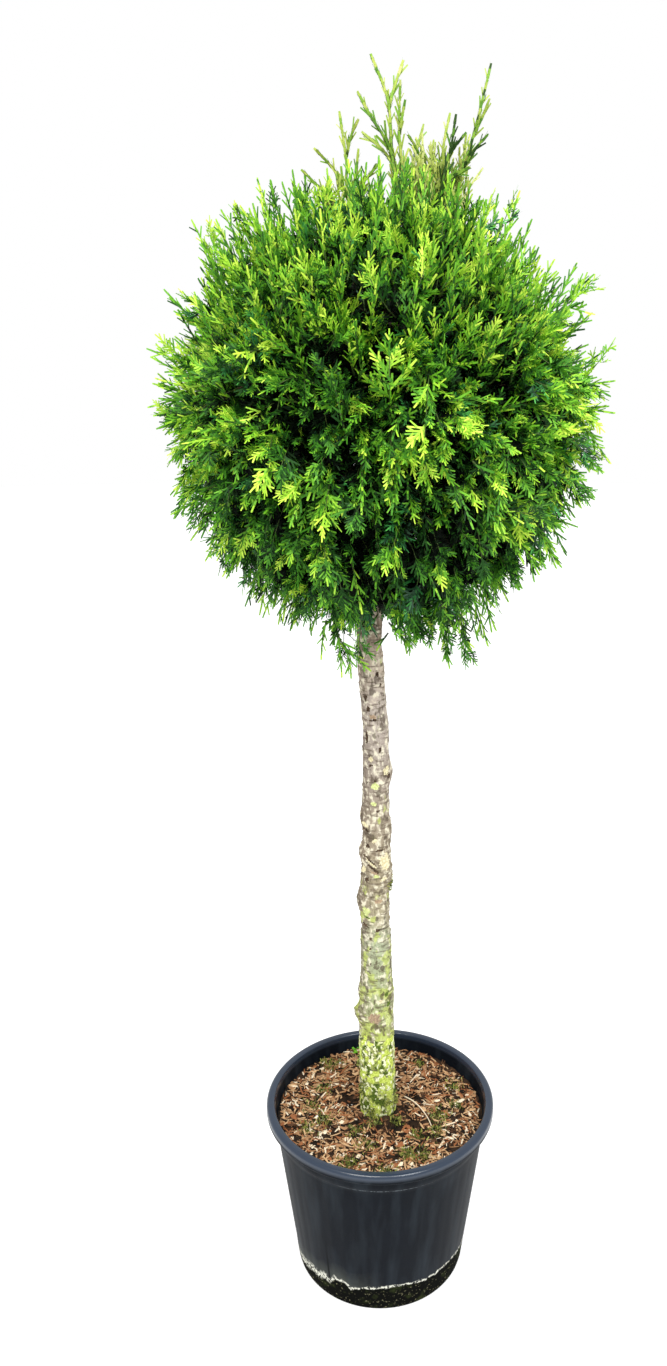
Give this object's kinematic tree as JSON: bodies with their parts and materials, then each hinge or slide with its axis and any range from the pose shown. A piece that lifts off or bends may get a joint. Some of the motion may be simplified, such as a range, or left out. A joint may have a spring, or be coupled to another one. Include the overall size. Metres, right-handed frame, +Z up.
{
  "type": "lollipop topiary in nursery pot",
  "caption": "Lollipop topiary: a shaggy clipped ball of flat conifer sprays with loose top shoots, on a bare knobbly trunk in a round tapered nursery pot.",
  "frame": {"origin": "middle of the pot's flat underside, level with the ground that the plant stands on", "axes": "+Z up the trunk, -Y towards the front, +X to the right as seen from the front"},
  "size_m": [0.5358, 0.543, 1.5532],
  "materials": {
    "pot_plastic": "satin",
    "potting_mix": "matte",
    "bark": "rough",
    "foliage": "waxy",
    "young_shoots": "waxy"
  },
  "bodies": {
    "root": {"pot": "pot_plastic", "potting_soil": "potting_mix", "trunk": "bark", "clipped_ball": "foliage", "leader_shoots": "young_shoots", "right_top_shoots": "young_shoots", "left_top_shoots": "young_shoots", "back_top_shoots": "young_shoots"}
  },
  "joints": []
}
